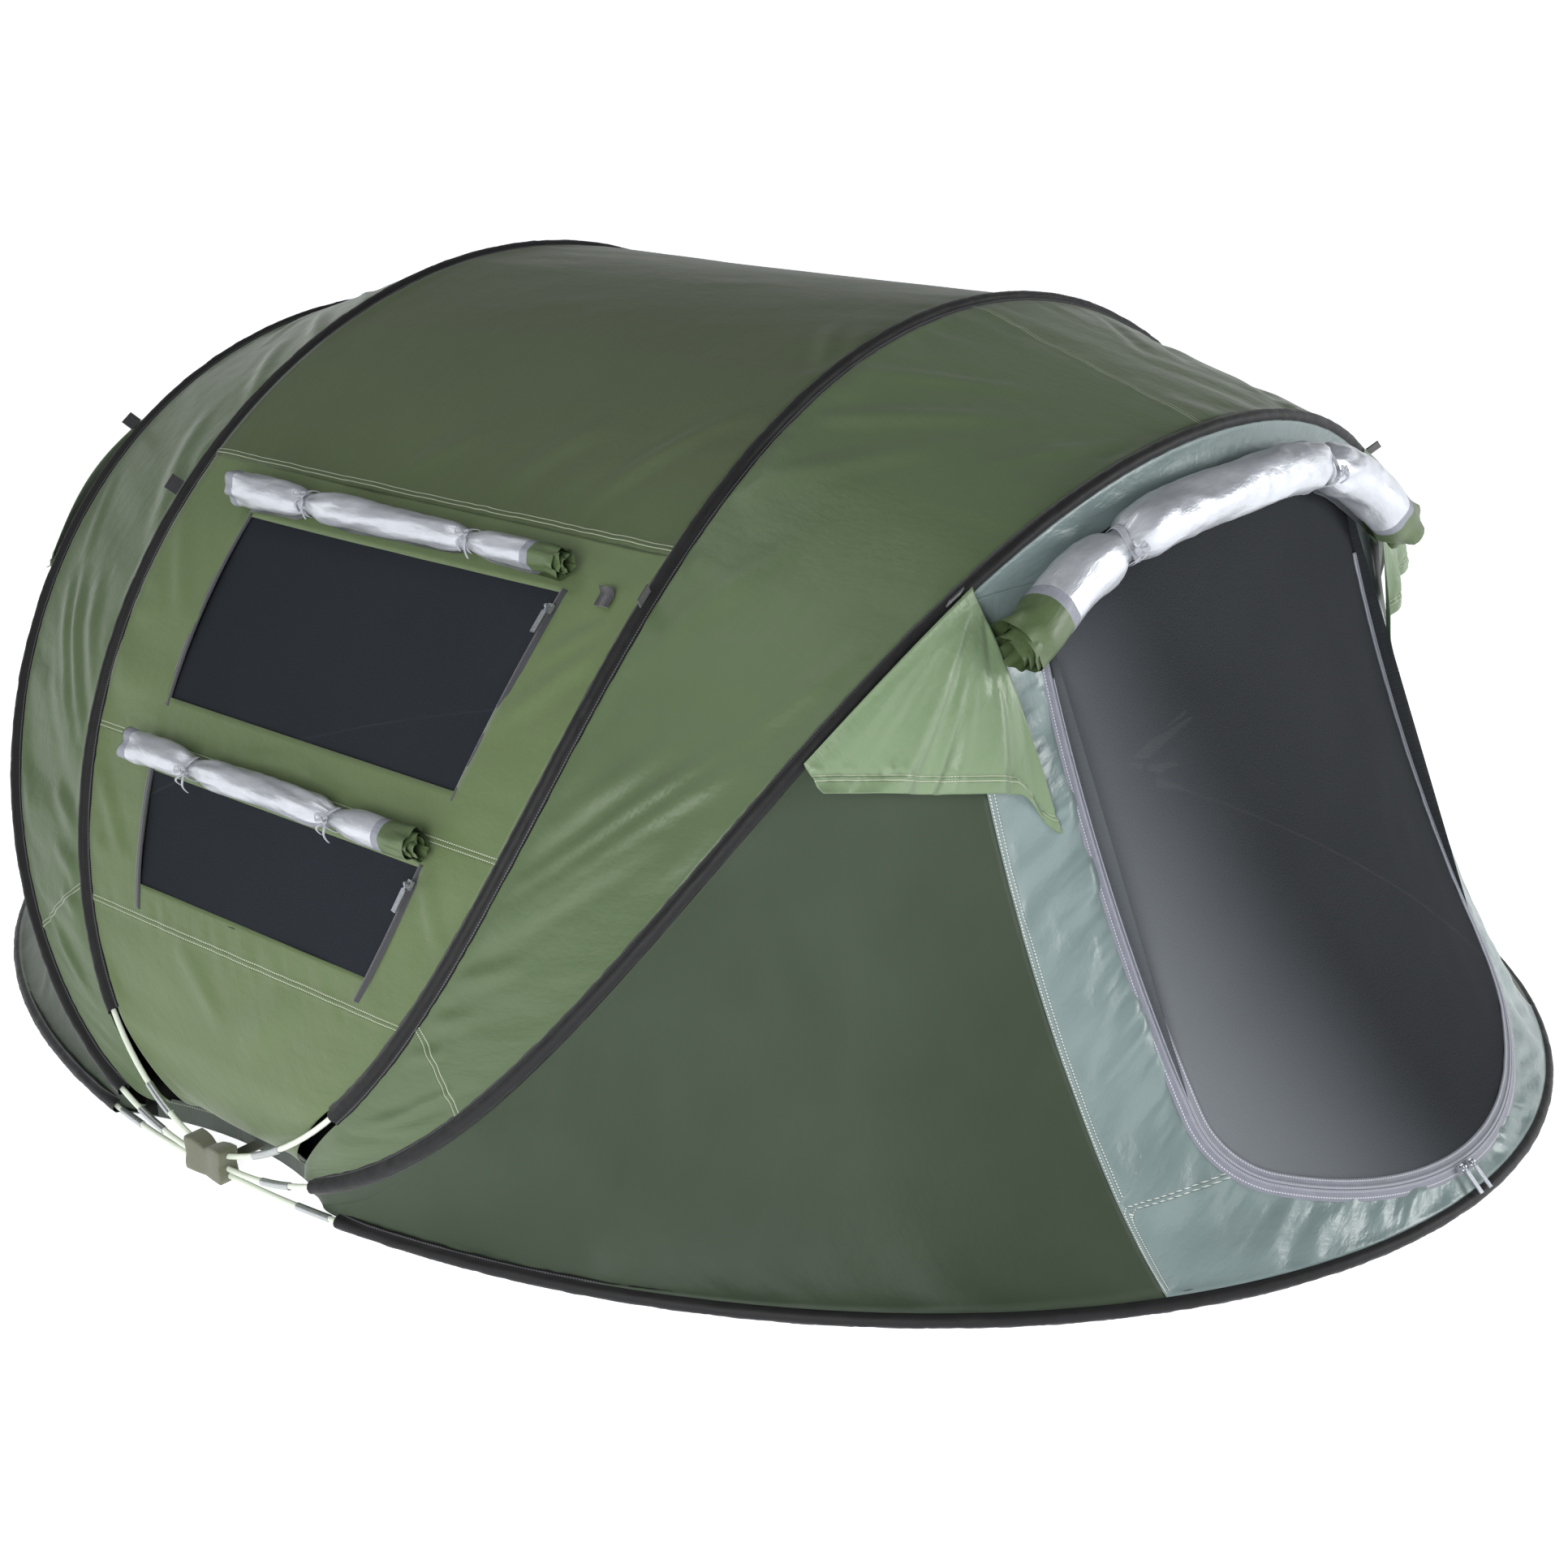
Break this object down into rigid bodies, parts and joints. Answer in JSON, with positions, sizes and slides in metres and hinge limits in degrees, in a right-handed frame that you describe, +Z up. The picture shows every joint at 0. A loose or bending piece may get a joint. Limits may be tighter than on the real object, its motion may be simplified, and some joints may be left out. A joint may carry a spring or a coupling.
{
  "type": "pop-up boat tent",
  "caption": "Low domed pop-up tent on sprung hoop frames, with mesh doors at both ends, side mesh windows and rolled covers.",
  "frame": {"origin": "centre of the footprint, on the ground", "axes": "+X from hub to hub towards the right as seen from the front, -Y out of the front door, +Z up"},
  "size_m": [2.274, 2.8164, 1.1562],
  "materials": {
    "fibreglass_rod": "smooth pale fibreglass",
    "rod_sleeve": "tight black polyester binding",
    "ferrule": "satin",
    "olive_webbing": "folded olive webbing",
    "floor_cloth": "dark coated groundsheet",
    "roof_cloth": "olive polyester",
    "canopy_cloth": "green polyester",
    "side_wall_cloth": "dark olive polyester",
    "door_wall_cloth": "glossy grey green nylon",
    "insect_mesh": "fine dark mesh",
    "tie_webbing": "grey tape",
    "silver_coated_cloth": "silver coated polyester",
    "zip_metal": "satin grey",
    "zip_tape": "grey coil zip",
    "black_webbing": "black webbing"
  },
  "bodies": {
    "root": {"door_cover_ties": "tie_webbing", "door_frame_zips": "zip_tape", "door_loop_rods": "fibreglass_rod", "door_loop_sleeves": "rod_sleeve", "door_mesh_tops": "insect_mesh", "floor_edge_strips": "floor_cloth", "floor_sheet": "floor_cloth", "front_awnings": "canopy_cloth", "front_door_cover": "silver_coated_cloth", "front_door_wall": "door_wall_cloth", "front_side_walls": "side_wall_cloth", "front_wedge": "canopy_cloth", "ground_loop_rods": "fibreglass_rod", "ground_loop_sleeves": "rod_sleeve", "guy_tabs": "black_webbing", "hub_block_left": "olive_webbing", "hub_block_right": "olive_webbing", "hub_straps": "olive_webbing", "main_loop_rods": "fibreglass_rod", "main_loop_sleeves": "rod_sleeve", "rear_awnings": "canopy_cloth", "rear_door_cover": "silver_coated_cloth", "rear_door_wall": "door_wall_cloth", "rear_side_walls": "side_wall_cloth", "rear_wedge": "canopy_cloth", "rod_ferrules": "ferrule", "roof_panel": "roof_cloth", "side_panel_left": "canopy_cloth", "side_panel_right": "canopy_cloth", "window_cover_lower_left": "silver_coated_cloth", "window_cover_lower_right": "silver_coated_cloth", "window_cover_ties": "tie_webbing", "window_cover_upper_left": "silver_coated_cloth", "window_cover_upper_right": "silver_coated_cloth", "window_mesh_lower_left": "insect_mesh", "window_mesh_lower_right": "insect_mesh", "window_mesh_upper_left": "insect_mesh", "window_mesh_upper_right": "insect_mesh", "window_zips": "zip_tape"},
    "front_door": {"front_door_mesh": "insect_mesh", "front_door_zip": "zip_tape"},
    "front_door_slider_left": {"front_door_slider_left": "zip_metal"},
    "front_door_pull_left": {"front_door_pull_left": "zip_metal"},
    "front_door_slider_right": {"front_door_slider_right": "zip_metal"},
    "front_door_pull_right": {"front_door_pull_right": "zip_metal"},
    "rear_door": {"rear_door_mesh": "insect_mesh", "rear_door_zip": "zip_tape"},
    "rear_door_slider_left": {"rear_door_slider_left": "zip_metal"},
    "rear_door_pull_left": {"rear_door_pull_left": "zip_metal"},
    "rear_door_slider_right": {"rear_door_slider_right": "zip_metal"},
    "rear_door_pull_right": {"rear_door_pull_right": "zip_metal"},
    "window_slider_upper_left": {"window_slider_upper_left": "zip_metal"},
    "window_pull_upper_left": {"window_pull_upper_left": "zip_metal"},
    "window_slider_lower_left": {"window_slider_lower_left": "zip_metal"},
    "window_pull_lower_left": {"window_pull_lower_left": "zip_metal"},
    "window_slider_upper_right": {"window_slider_upper_right": "zip_metal"},
    "window_pull_upper_right": {"window_pull_upper_right": "zip_metal"},
    "window_slider_lower_right": {"window_slider_lower_right": "zip_metal"},
    "window_pull_lower_right": {"window_pull_lower_right": "zip_metal"}
  },
  "joints": [
    {"name": "front_door_lift", "type": "hinge", "parent": "root", "child": "front_door", "pos_m": [0, -0.96728, 0.79], "axis": [-1, 0, 0], "range_deg": [0, 60]},
    {"name": "front_door_slider_left_travel", "type": "hinge", "parent": "root", "child": "front_door_slider_left", "pos_m": [0, -0.91429, 0.25531], "axis": [0, 0.4281, -0.9037], "range_deg": [0, 17.9]},
    {"name": "front_door_pull_left_swing", "type": "hinge", "parent": "front_door_slider_left", "child": "front_door_pull_left", "pos_m": [-0.04952, -1.37548, 0.05063], "axis": [-0.9952, 0.0883, 0.0418], "range_deg": [0, 100]},
    {"name": "front_door_slider_right_travel", "type": "hinge", "parent": "root", "child": "front_door_slider_right", "pos_m": [0, -0.91429, 0.25531], "axis": [0, -0.4281, 0.9037], "range_deg": [0, 26.6]},
    {"name": "front_door_pull_right_swing", "type": "hinge", "parent": "front_door_slider_right", "child": "front_door_pull_right", "pos_m": [-0.02729, -1.37702, 0.04995], "axis": [-0.9985, 0.0487, 0.023], "range_deg": [0, 100]},
    {"name": "rear_door_lift", "type": "hinge", "parent": "root", "child": "rear_door", "pos_m": [0, 0.96728, 0.79], "axis": [1, 0, 0], "range_deg": [0, 60]},
    {"name": "rear_door_slider_left_travel", "type": "hinge", "parent": "root", "child": "rear_door_slider_left", "pos_m": [0, 0.91429, 0.25531], "axis": [0, 0.4281, 0.9037], "range_deg": [0, 17.9]},
    {"name": "rear_door_pull_left_swing", "type": "hinge", "parent": "rear_door_slider_left", "child": "rear_door_pull_left", "pos_m": [-0.04952, 1.37548, 0.05063], "axis": [0.9952, 0.0883, -0.0418], "range_deg": [0, 100]},
    {"name": "rear_door_slider_right_travel", "type": "hinge", "parent": "root", "child": "rear_door_slider_right", "pos_m": [0, 0.91429, 0.25531], "axis": [0, -0.4281, -0.9037], "range_deg": [0, 26.6]},
    {"name": "rear_door_pull_right_swing", "type": "hinge", "parent": "rear_door_slider_right", "child": "rear_door_pull_right", "pos_m": [-0.02729, 1.37702, 0.04995], "axis": [0.9985, 0.0487, -0.023], "range_deg": [0, 100]},
    {"name": "window_slider_upper_left_travel", "type": "hinge", "parent": "root", "child": "window_slider_upper_left", "pos_m": [0.03352, 0.13565, 0.09048], "axis": [0.2836, -0.9094, -0.3043], "range_deg": [0, 12.7]},
    {"name": "window_pull_upper_left_swing", "type": "hinge", "parent": "window_slider_upper_left", "child": "window_pull_upper_left", "pos_m": [-0.76288, -0.35121, 0.82181], "axis": [0.0203, 0.9996, 0.0214], "range_deg": [0, 100]},
    {"name": "window_slider_lower_left_travel", "type": "hinge", "parent": "root", "child": "window_slider_lower_left", "pos_m": [-0.3586, 0.4799, 0.36111], "axis": [0.6603, -0.592, -0.4622], "range_deg": [0, 7.5]},
    {"name": "window_pull_lower_left_swing", "type": "hinge", "parent": "window_slider_lower_left", "child": "window_pull_lower_left", "pos_m": [-0.99404, -0.30684, 0.48443], "axis": [0.0915, 0.978, 0.1872], "range_deg": [0, 100]},
    {"name": "window_slider_upper_right_travel", "type": "hinge", "parent": "root", "child": "window_slider_upper_right", "pos_m": [-0.03352, 0.13565, 0.09048], "axis": [0.2836, 0.9094, 0.3043], "range_deg": [0, 12.7]},
    {"name": "window_pull_upper_right_swing", "type": "hinge", "parent": "window_slider_upper_right", "child": "window_pull_upper_right", "pos_m": [0.76288, -0.35121, 0.82181], "axis": [0.0203, -0.9996, -0.0214], "range_deg": [0, 100]},
    {"name": "window_slider_lower_right_travel", "type": "hinge", "parent": "root", "child": "window_slider_lower_right", "pos_m": [0.3586, 0.4799, 0.36111], "axis": [0.6603, 0.592, 0.4622], "range_deg": [0, 7.5]},
    {"name": "window_pull_lower_right_swing", "type": "hinge", "parent": "window_slider_lower_right", "child": "window_pull_lower_right", "pos_m": [0.99404, -0.30684, 0.48443], "axis": [0.0915, -0.978, -0.1872], "range_deg": [0, 100]}
  ]
}
